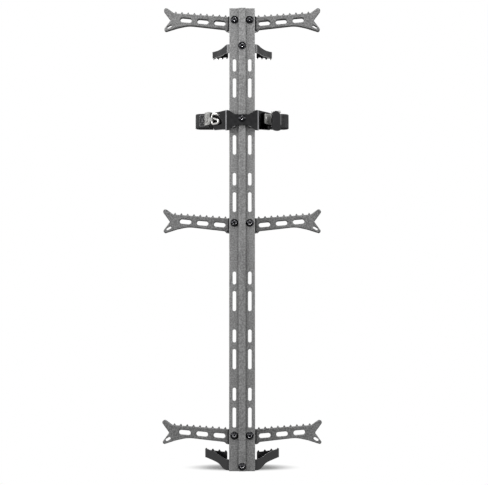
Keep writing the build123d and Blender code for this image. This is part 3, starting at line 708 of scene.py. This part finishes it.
def add_ring(shape: BMesh, centre: Vector, radius: float, thick: float) -> None:
    """Adds a round ring about the Y direction to a mesh.

    Args:
        shape: The mesh that gets the ring.
        centre: The ring's middle.
        radius: From its middle to the middle of its wire.
        thick: The wire's radius.
    """
    rows = []
    for step in range(RING_TURNS):
        angle = math.tau * step / RING_TURNS
        ray = Vector((math.cos(angle), 0.0, math.sin(angle)))
        row = []
        for side in range(RING_SIDES):
            tilt = math.tau * side / RING_SIDES
            spot = centre + ray * (radius + thick * math.cos(tilt))
            row.append(shape.verts.new(spot + Vector((0.0, thick * math.sin(tilt), 0.0))))
        rows.append(row)
    for step, row in enumerate(rows):
        after = rows[(step + 1) % RING_TURNS]
        for side in range(RING_SIDES):
            other = (side + 1) % RING_SIDES
            shape.faces.new((row[side], row[other], after[other], after[side]))


@dataclass
class Dresser:
    """Gives pieces their finishes, building each material once."""

    built: dict[Slot, Material] = field(default_factory=dict)

    def material(self, slot: Slot) -> Material:
        """Builds or finds a slot's material.

        Args:
            slot: The slot.

        Returns:
            The slot's material.
        """
        if slot not in self.built:
            self.built[slot] = FINISHES[slot].build()
        return self.built[slot]

    def dress_node(self, node: Object, slot: Slot, finish: Material | None = None) -> None:
        """Puts a material on a node or a new piece.

        Args:
            node: The node or piece.
            slot: The slot it belongs to.
            finish: Its own material, where it differs from the slot's.
        """
        node.data.materials.clear()
        node.data.materials.append(finish or self.material(slot))

    def add_piece(
        self, piece: Object, slot: Slot, body: str = ROOT_BODY, finish: Material | None = None
    ) -> None:
        """Dresses a new piece and lets it ride on a body.

        Args:
            piece: The new piece.
            slot: The slot it belongs to.
            body: The body it moves with.
            finish: Its own material, where it differs from the slot's.
        """
        self.dress_node(piece, slot, finish)
        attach(piece, body)
        LOG.info("added %s on %s", piece.name, body)


# ---------- strap


@dataclass
class Strap:
    """The woven strap: its route, its thickness and its seams. In metres and degrees."""

    width: float = 25.4 * MM
    thick: float = 1.5 * MM
    # The bracket as it is packed: the turn of its arms, and the bend that they start from.
    bend_angle: float = 48.0
    bend_x: float = 27.0 * MM
    bend_r: float = 5.0 * MM
    plate_mid: float = -3.0 * MM
    # Along an arm from its bend: the strap's start, the clamp's end and the slot. Outwards from
    # the arm's middle: the strap.
    start_along: float = 39.0 * MM
    clamp_end: float = 48.0 * MM
    slot_at: float = 36.5 * MM
    arm_stand: float = 4.9 * MM
    # Where the strap eases away from an arm and turns back behind the stick.
    ease: float = 30.0
    ease_r: float = 6.0 * MM
    lead: float = 9.3 * MM
    turn_r: float = 10.0 * MM
    # Where it bends through the slot and folds, and what the folds leave free before its back run.
    slot_r: float = 2.0 * MM
    fold_pitch: float = 2.2 * MM
    fold_clear: float = 1.6 * MM
    # Points along the route: how far apart on a straight, and how many radians apart in a bend.
    step: float = 1.6 * MM
    turn_step: float = 0.22
    turn_least: int = 3
    # Points across each face, and the rounding of its edges: where it starts, and a corner on the
    # way, with the share of the thickness at which that stands.
    across: int = 12
    selvedge: float = 0.6 * MM
    shoulder: float = 0.15 * MM
    shoulder_share: float = 0.3
    # Soft creases in the faces and a slight drift up and down: how far, and how often a metre.
    crease: float = 0.12 * MM
    crease_rate: Pair = (60.0, 40.0)
    crease_seed: float = 3.1
    drift: float = 0.25 * MM
    drift_rate: float = 25.0
    drift_seed: float = 7.7
    # The seam. Real thread is about 0.5 mm thick; it is drawn at 0.9 mm so that it shows.
    stitch_pitch: float = 3.4 * MM
    stitch_share: float = 0.72
    stitch_width: float = 0.9 * MM
    stitch_proud: float = 0.5 * MM
    seam_gap: float = 2.2 * MM
    seam_length: float = 10.0 * MM
    seam_height: float = 19.0 * MM
    # The teeth at the clamp's end, and half the clamp's thickness over its leaves.
    clamp_half: float = 3.2 * MM
    teeth: int = 4
    tooth_pitch: float = 5.4 * MM
    tooth_width: float = 2.2 * MM
    tooth_length: float = 1.1 * MM
    teeth_lift: float = -0.8 * MM

    def arm_origin(self) -> Pair:
        """Finds where the bracket's right arm leaves its bend.

        Returns:
            X and Y.
        """
        half = math.radians(self.bend_angle / 2)
        full = math.radians(self.bend_angle)
        start = self.bend_x - self.bend_r * math.tan(half)
        return (
            start + self.bend_r * math.sin(full),
            self.plate_mid + self.bend_r * (1 - math.cos(full)),
        )

    def arm_point(self, along: float, stand: float) -> Pair:
        """Finds a point by the right arm in plan.

        Args:
            along: The distance from the bend along the arm.
            stand: The distance outwards from the arm's middle.

        Returns:
            X and Y.
        """
        x, y = self.arm_origin()
        turn = math.radians(self.bend_angle)
        return (
            x + along * math.cos(turn) + stand * math.sin(turn),
            y + along * math.sin(turn) - stand * math.cos(turn),
        )

    def moves(self) -> list[Triple]:
        """Lays out the strap's route in plan.

        It leaves the clamp on the left arm, turns back behind the stick, comes round to the right
        arm, passes through its slot and folds to and fro between the arms.

        Returns:
            Straight lengths, each followed by a radius and a turn in degrees.
        """
        ahead = 180 - self.bend_angle
        lead_in = self.clamp_end - self.start_along
        back_turn = ahead + self.ease
        left = [(lead_in, self.ease_r, self.ease), (self.lead, self.turn_r, -back_turn)]
        behind = self.trace(left)[-1]
        through = self.start_along - self.slot_at - self.slot_r
        route = left + [
            (-2 * behind[0], self.turn_r, -back_turn),
            (self.lead, self.ease_r, self.ease),
            (lead_in + through, self.slot_r, -90),
            (self.ease_r, self.ease_r, 90 - self.bend_angle),
        ]
        first = self.trace(route)[-1]
        room = behind[1] - first[1] - self.fold_clear
        turn = -180.0
        for _ in range(int(room / self.fold_pitch)):
            route.append((2 * first[0], self.fold_pitch / 2, turn))
            turn = -turn
        route.append((2 * first[0], 0.0, 0.0))
        return route

    def trace(self, route: Iterable[Triple]) -> list[Pair]:
        """Walks a route and lists points along it.

        Args:
            route: Straight lengths, each followed by a radius and a turn in degrees.

        Returns:
            Points in plan, from the strap's start.
        """
        x, y = self.arm_point(self.start_along, self.arm_stand)
        x = -x
        heading = math.radians(180 - self.bend_angle)
        points = [(x, y)]
        for length, radius, turn in route:
            steps = max(1, round(length / self.step)) if length else 0
            for _ in range(steps):
                part = length / steps
                x += part * math.cos(heading)
                y += part * math.sin(heading)
                points.append((x, y))
            angle = math.radians(turn)
            count = max(self.turn_least, round(abs(angle) / self.turn_step)) if turn else 0
            for _ in range(count):
                half = angle / count / 2
                chord = 2 * radius * math.sin(abs(half))
                heading += half
                x += chord * math.cos(heading)
                y += chord * math.sin(heading)
                heading += half
                points.append((x, y))
        return points

    def build(self, dresser: Dresser) -> None:
        """Builds the strap in place of its plain solid, with its seam at the clamp.

        Args:
            dresser: What holds the materials.
        """
        low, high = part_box("strap_webbing")
        middle = (low.z + high.z) / 2
        points = self.trace(self.moves())
        strap = self._ribbon("woven_strap", points, middle)
        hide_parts("strap_webbing")
        dresser.add_piece(strap, Slot.WEBBING)
        length = sum(math.dist(a, b) for a, b in zip(points, points[1:]))
        LOG.info("strap length %.3f m", length)
        self._box_stitch(points, middle, dresser)
        self._clamp_teeth(middle, dresser)

    def _on_face(
        self, points: list[Pair], run: float, height: float
    ) -> tuple[Vector, Vector, Vector]:
        """Finds a place on the strap's outer face.

        Args:
            points: The strap's route in plan.
            run: The distance along the strap.
            height: The height in the model.

        Returns:
            The place, the direction along the strap and the direction out of its face.
        """
        for a, b in zip(points, points[1:]):
            part = math.dist(a, b)
            if run <= part:
                break
            run -= part
        along = Vector((b[0] - a[0], b[1] - a[1], 0.0)).normalized()
        out = Vector((-along.y, along.x, 0.0))
        place = Vector((a[0], a[1], height)) + along * run + out * (self.thick / 2)
        return place, along, out

    def _box_stitch(self, points: list[Pair], middle: float, dresser: Dresser) -> None:
        """Sews a box with a cross beside the clamp, one rounded stitch at a time.

        Args:
            points: The strap's route in plan.
            middle: The height of the strap's middle.
            dresser: What holds the materials.
        """
        start = self.clamp_end - self.start_along + self.seam_gap
        end = start + self.seam_length
        low, high = -self.seam_height / 2, self.seam_height / 2
        corners = [(start, low), (end, low), (end, high), (start, high)]
        lines = list(zip(corners, corners[1:] + corners[:1]))
        lines += [(corners[0], corners[2]), (corners[1], corners[3])]
        shape = bmesh.new()
        for (run_a, rise_a), (run_b, rise_b) in lines:
            length = math.hypot(run_b - run_a, rise_b - rise_a)
            count = max(1, round(length / self.stitch_pitch))
            size = (self.stitch_share * length / count, self.stitch_width, self.stitch_proud)
            for index in range(count):
                share = (index + 0.5) / count
                run = run_a + (run_b - run_a) * share
                rise = rise_a + (rise_b - rise_a) * share
                place, along, out = self._on_face(points, run, middle + rise)
                turn = along * (run_b - run_a) + Vector((0.0, 0.0, rise_b - rise_a))
                add_bar(shape, place, turn.normalized(), out, size)
        seam = mesh_object("strap_box_stitch", shape)
        dresser.add_piece(seam, Slot.WEBBING, finish=THREAD.build())

    def _clamp_teeth(self, middle: float, dresser: Dresser) -> None:
        """Bends a row of teeth from each leaf of the clamp's end into the strap.

        Args:
            middle: The height of the strap's middle.
            dresser: What holds the materials.
        """
        turn = math.radians(self.bend_angle)
        along = Vector((-math.cos(turn), math.sin(turn), 0.0))
        out = Vector((-math.sin(turn), -math.cos(turn), 0.0))
        inner, outer = self.thick / 2, self.clamp_half
        size = (self.tooth_length, self.tooth_width, outer - inner)
        shape = bmesh.new()
        for index in range(self.teeth):
            rise = (index - (self.teeth - 1) / 2) * self.tooth_pitch + self.teeth_lift
            for face in (1, -1):
                stand = self.arm_stand + face * (inner + outer) / 2
                x, y = self.arm_point(self.clamp_end + self.tooth_length / 2, stand)
                add_bar(shape, Vector((-x, y, middle + rise)), along, out, size)
        dresser.add_piece(mesh_object("strap_clamp_teeth", shape), Slot.ZINC)

    def _ribbon(self, name: str, points: list[Pair], middle: float) -> Object:
        """Makes the strap's body with rounded selvedges, creases and a UV map in metres.

        Args:
            name: The piece's name.
            points: The strap's route in plan.
            middle: The height of the strap's middle.

        Returns:
            The strap.
        """
        shape = bmesh.new()
        uv = shape.loops.layers.uv.new("strap")
        rows: list[list[BMVert]] = []
        places: list[float] = []
        run = 0.0
        section = self._section()
        for index, (x, y) in enumerate(points):
            before = points[max(index - 1, 0)]
            after = points[min(index + 1, len(points) - 1)]
            run += math.dist(before, (x, y))
            tangent = Vector((after[0] - before[0], after[1] - before[1])).normalized()
            side = Vector((-tangent.y, tangent.x))
            row = []
            for across, out in section:
                spot = (run * self.crease_rate[0], across * self.crease_rate[1], self.crease_seed)
                shift = side * (out * self.thick + noise.noise(Vector(spot)) * self.crease)
                spot = (run * self.drift_rate, self.drift_seed, 0.0)
                rise = noise.noise(Vector(spot)) * self.drift
                row.append(shape.verts.new((x + shift.x, y + shift.y, middle + across + rise)))
            rows.append(row)
            places.append(run)
        around = self._around(section)
        for index in range(len(rows) - 1):
            for side_index in range(len(section)):
                following = (side_index + 1) % len(section)
                corners = (
                    (index, side_index, side_index),
                    (index, following, side_index + 1),
                    (index + 1, following, side_index + 1),
                    (index + 1, side_index, side_index),
                )
                face = shape.faces.new([rows[i][j] for i, j, _ in corners])
                for corner, (i, _, k) in zip(face.loops, corners):
                    corner[uv].uv = (places[i], around[k])
        shape.faces.new(rows[0])
        shape.faces.new(list(reversed(rows[-1])))
        return mesh_object(name, shape)

    def _section(self) -> list[Pair]:
        """Lays out the strap's section.

        Returns:
            Points round it: the distance across, and the share of the thickness outwards.
        """
        half_width = self.width / 2
        flat = half_width - self.selvedge
        corner = half_width - self.shoulder
        front = [(-flat + 2 * flat * i / self.across, 0.5) for i in range(self.across + 1)]
        edge = [(corner, self.shoulder_share), (half_width, 0.0), (corner, -self.shoulder_share)]
        back = [(across, -out) for across, out in reversed(front)]
        other = [(-across, -out) for across, out in edge]
        return front + edge + back + other

    def _around(self, section: list[Pair]) -> list[float]:
        """Measures the distance round the section.

        Args:
            section: Points round it, as _section gives them.

        Returns:
            The distance at each point, and back at the first.
        """
        places = [0.0]
        for a, b in zip(section, section[1:] + section[:1]):
            places.append(places[-1] + math.hypot(b[0] - a[0], (b[1] - a[1]) * self.thick))
        return places


# ---------- metalwork


@dataclass
class Metalwork:
    """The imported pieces, each with the slot that the record gives it."""

    slots: dict[str, Slot] = field(default_factory=dict)

    def read_record(self, record: dict[str, Any]) -> None:
        """Takes each node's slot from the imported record.

        Args:
            record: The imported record.
        """
        for part in record["subparts"]:
            self.slots[part["node"]] = Slot(part["material_slot"])

    def dress(self, nodes: dict[str, Object], dresser: Dresser) -> None:
        """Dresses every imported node.

        Args:
            nodes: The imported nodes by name.
            dresser: What holds the materials.
        """
        # The buckle's frame and rivet take the paler copy of the zinc: painted light.
        lit_buckle_zinc = BUCKLE_PAINTED_LIGHT_ZINC.build()
        for name, node in nodes.items():
            own = lit_buckle_zinc if name in BUCKLE_NODES else None
            dresser.dress_node(node, self.slots[name], own)
            LOG.info("dressed %s as %s", name, self.slots[name].value)


@dataclass
class LockNuts:
    """The nylon rings of the lock nuts and the threads that stand out of them. In metres."""

    bolt_r: float = 4.0 * MM
    # The standoffs' outermost bolts have their middles this far inside the box of them all.
    head_r: float = 6.8 * MM
    ring_r: float = 4.6 * MM
    ring_wire: float = 0.45 * MM
    # Threads of this size have a pitch of 1.25 mm.
    thread_pitch: float = 1.25 * MM
    thread_wire: float = 0.25 * MM

    def build(self, frame: dict[str, Any], dresser: Dresser) -> None:
        """Builds the rings and threads of the steps' and the standoffs' nuts.

        Args:
            frame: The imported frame.
            dresser: What holds the materials.
        """
        pivots = [j["pos_m"] for j in frame["joints"] if j["name"].endswith("_fold")]
        places = [(x, z) for x, _, z in pivots]
        self._build_group("step", places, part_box("step_lock_nuts")[1].y, dresser)
        low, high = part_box("standoff_bolts")
        places = [(0.0, low.z + self.head_r), (0.0, high.z - self.head_r)]
        self._build_group("standoff", places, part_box("standoff_lock_nuts")[1].y, dresser)

    def _build_group(self, name: str, places: list[Pair], end: float, dresser: Dresser) -> None:
        """Builds one group of nuts.

        Args:
            name: The group's name.
            places: X and Z of each bolt.
            end: Y of the nuts' outer ends.
            dresser: What holds the materials.
        """
        rings, threads = bmesh.new(), bmesh.new()
        for x, z in places:
            add_ring(rings, Vector((x, end, z)), self.ring_r, self.ring_wire)
            crest = Vector((x, end + self.thread_pitch / 2, z))
            add_ring(threads, crest, self.bolt_r, self.thread_wire)
        dresser.add_piece(mesh_object(f"{name}_nut_rings", rings), Slot.NYLON)
        dresser.add_piece(mesh_object(f"{name}_bolt_threads", threads), Slot.SCREW)


# ---------- studio

WHITE: Colour = (1.0, 1.0, 1.0, 1.0)


@dataclass
class Studio:
    """Camera, lights, floor and surround. In metres and degrees, with powers in watts."""

    camera_place: Triple = (0.0, -2.5185, 0.186)
    tilt: float = 4.1
    sensor_mm: float = 36.0
    lens_mm: float = 106.672
    shift: Pair = (0.0039, 0.0354)
    floor_size: float = 14.0
    floor_tone: str = "848484"
    floor_roughness: float = 0.9
    # The floor shows its shadow round this place and fades into the surround away from it.
    shadow_place: Triple = (0.0, 0.1, 0.0)
    fade_start: float = 0.04
    fade_end: float = 0.11
    ambient: float = 0.1
    side_angle: float = 66.0
    side_distance: float = 1.6
    side_height: float = 1.0
    side_aim: float = 0.5
    side_size: Pair = (1.2, 1.0)
    left_watts: float = 36.0
    right_watts: float = 26.0
    top_place: Triple = (0.0, -0.65, 1.9)
    top_aim: float = 0.6
    top_size: Pair = (0.8, 0.4)
    top_watts: float = 22.0
    back_place: Triple = (-0.7, 1.7, 1.3)
    back_aim: float = 0.45
    back_size: Pair = (1.0, 1.2)
    back_watts: float = 30.0

    def build(self) -> None:
        """Builds the whole studio."""
        bpy.context.scene.view_settings.view_transform = "Standard"
        self._camera()
        self._surround()
        self._floor()
        self._softbox("top_softbox", self.top_place, self.top_aim, self.top_size, self.top_watts)
        self._softbox(
            "back_softbox", self.back_place, self.back_aim, self.back_size, self.back_watts
        )
        out = self.side_distance * math.sin(math.radians(self.side_angle))
        ahead = -self.side_distance * math.cos(math.radians(self.side_angle))
        sides = (("left_softbox", -out, self.left_watts), ("right_softbox", out, self.right_watts))
        for name, x, watts in sides:
            place = (x, ahead, self.side_height)
            self._softbox(name, place, self.side_aim, self.side_size, watts)

    def _camera(self) -> None:
        """Adds the camera: a long lens low in front of the stick, tilted up a little."""
        data = bpy.data.cameras.new("camera")
        data.sensor_width = self.sensor_mm
        data.lens = self.lens_mm
        data.shift_x, data.shift_y = self.shift
        camera = bpy.data.objects.new("camera", data)
        camera.location = self.camera_place
        camera.rotation_euler = (math.radians(90 + self.tilt), 0.0, 0.0)
        bpy.context.scene.collection.objects.link(camera)
        bpy.context.scene.camera = camera

    def _surround(self) -> None:
        """Adds a white surround for the camera and in reflections, and a dimmer one as light."""
        world = bpy.data.worlds.new("white_surround")
        world.use_nodes = True
        bpy.context.scene.world = world
        tree = world.node_tree
        output = next(n for n in tree.nodes if n.type == "OUTPUT_WORLD")
        light = next(n for n in tree.nodes if n.type == "BACKGROUND")
        set_inputs(tree, light, {"Color": WHITE, "Strength": self.ambient})
        seen = add_node(tree, "ShaderNodeBackground", None, {"Color": WHITE, "Strength": 1.0})
        halves = {0: self._seen_rays(tree), 1: light, 2: seen}
        mixed = add_node(tree, "ShaderNodeMixShader", None, halves)
        set_inputs(tree, output, {"Surface": mixed})

    def _seen_rays(self, tree: NodeTree) -> NodeSocket | Node:
        """Picks the rays that show the surround: the camera's, mirrored and passed-through ones.

        Args:
            tree: The node tree.

        Returns:
            1 for those rays and 0 for the rest.
        """
        path = add_node(tree, "ShaderNodeLightPath")
        seen = path.outputs["Is Camera Ray"]
        for kind in ("Is Glossy Ray", "Is Transmission Ray"):
            either = {0: seen, 1: path.outputs[kind]}
            seen = add_node(tree, MATH, {"operation": "MAXIMUM"}, either)
        return seen

    def _floor(self) -> None:
        """Adds a pale floor that keeps the shadow near the stick and fades into the surround."""
        shape = bmesh.new()
        bmesh.ops.create_grid(shape, x_segments=1, y_segments=1, size=self.floor_size / 2)
        floor = mesh_object("floor", shape, False)
        material, tree, shader = blank_material("pale_floor")
        set_inputs(tree, shader, {
            "Base Color": linear(self.floor_tone),
            "Roughness": self.floor_roughness,
            "Specular IOR Level": 0.0,
        })
        white = add_node(tree, "ShaderNodeEmission", None, {"Strength": 1.0})
        place = add_node(tree, "ShaderNodeNewGeometry").outputs["Position"]
        ends = {0: place, 1: self.shadow_place}
        far = add_node(tree, "ShaderNodeVectorMath", {"operation": "DISTANCE"}, ends)
        ends = {"Value": far, FROM_LOW: self.fade_start, FROM_HIGH: self.fade_end}
        fade = add_node(tree, MAP_RANGE, {"interpolation_type": "SMOOTHSTEP"}, ends)
        faded = {0: fade, 1: self._seen_rays(tree)}
        factor = add_node(tree, MATH, {"operation": "MULTIPLY"}, faded)
        halves = {0: factor, 1: shader, 2: white}
        mixed = add_node(tree, "ShaderNodeMixShader", None, halves)
        output = next(n for n in tree.nodes if n.type == "OUTPUT_MATERIAL")
        set_inputs(tree, output, {"Surface": mixed})
        floor.data.materials.append(material)

    def _softbox(
        self, name: str, place: Triple, aim_height: float, size: Pair, watts: float
    ) -> None:
        """Adds a rectangular light aimed at the stick.

        Args:
            name: The light's name.
            place: Where it stands.
            aim_height: The height on the stick's axis that it points at.
            size: Its width and height.
            watts: Its power.
        """
        data = bpy.data.lights.new(name, "AREA")
        data.shape = "RECTANGLE"
        data.size, data.size_y = size
        data.energy = watts
        light = bpy.data.objects.new(name, data)
        light.location = place
        aim = Vector((0.0, 0.0, aim_height)) - Vector(place)
        light.rotation_euler = aim.to_track_quat("-Z", "Y").to_euler()
        bpy.context.scene.collection.objects.link(light)


def main() -> None:
    """Builds the studio and dresses the stick."""
    logging.basicConfig(level=logging.INFO, format="%(name)s: %(message)s")
    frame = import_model()
    Studio().build()
    dresser = Dresser()
    metalwork = Metalwork()
    metalwork.read_record(frame["record"])
    metalwork.dress(frame["nodes"], dresser)
    Strap().build(dresser)
    LockNuts().build(frame, dresser)


if __name__ == "__main__":
    main()
